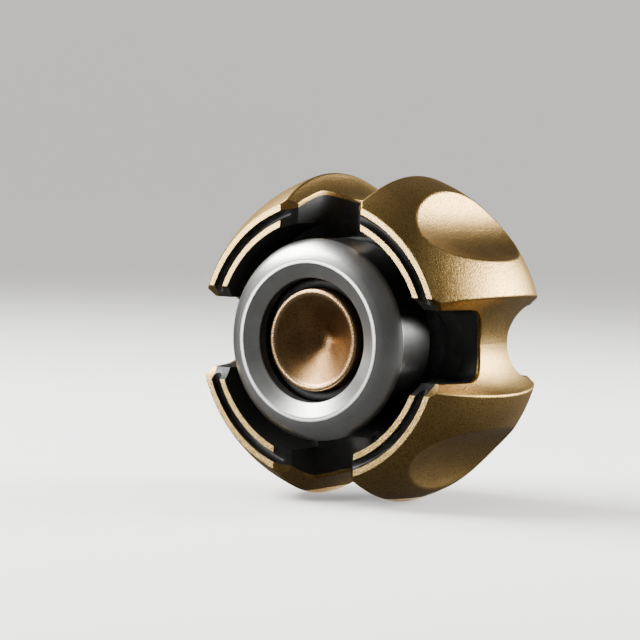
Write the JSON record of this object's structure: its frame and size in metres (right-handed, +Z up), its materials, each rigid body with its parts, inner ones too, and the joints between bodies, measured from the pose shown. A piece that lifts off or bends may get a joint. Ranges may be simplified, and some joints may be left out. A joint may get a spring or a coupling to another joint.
{
  "type": "fidget spinner",
  "caption": "Ball-shaped metal fidget spinner: lobed bronze rotor on a ball bearing between steel finger buttons with dished bronze caps.",
  "frame": {"origin": "centre of the ball-shaped body, on the spin axis", "axes": "+Y along the spin axis towards the rear, the front button faces -Y, +Z up with the lobes at 45 degrees"},
  "size_m": [0.0322, 0.0234, 0.0322],
  "materials": {
    "bronze": "fine bead-blasted bronze, edges worn bright",
    "cap_bronze": "turned bronze, finely grained",
    "steel": "satin turned steel",
    "blackened_steel": "black oxide",
    "plain_steel": "turned",
    "bearing_steel": "ground and polished",
    "cage_brass": "plain",
    "rubber": "plain black"
  },
  "bodies": {
    "hub": {"axle": "plain_steel", "bearing_inner_race": "bearing_steel", "front_spacer": "plain_steel", "rear_spacer": "plain_steel", "front_button": "steel", "rear_button": "steel", "front_cap": "cap_bronze", "rear_cap": "cap_bronze", "front_o_ring": "rubber", "rear_o_ring": "rubber"},
    "ball_set": {"bearing_balls": "bearing_steel", "bearing_cage": "cage_brass"},
    "rotor": {"shell": "bronze", "carrier": "blackened_steel", "front_groove_inlay": "blackened_steel", "rear_groove_inlay": "blackened_steel", "bearing_outer_race": "bearing_steel", "front_bearing_shield": "plain_steel", "rear_bearing_shield": "plain_steel", "front_shield_clip": "plain_steel", "rear_shield_clip": "plain_steel", "front_retaining_ring": "blackened_steel", "rear_retaining_ring": "blackened_steel"}
  },
  "joints": [
    {"name": "rotor_spin", "type": "hinge", "parent": "hub", "child": "rotor", "pos_m": [0, 0, 0], "axis": [0, 1, 0], "continuous": true},
    {"name": "ball_set_spin", "type": "hinge", "parent": "hub", "child": "ball_set", "pos_m": [0, 0, 0], "axis": [0, 1, 0], "continuous": true}
  ],
  "couplings": [
    {"joint": "ball_set_spin", "follows": "rotor_spin", "ratio": 0.58336}
  ]
}
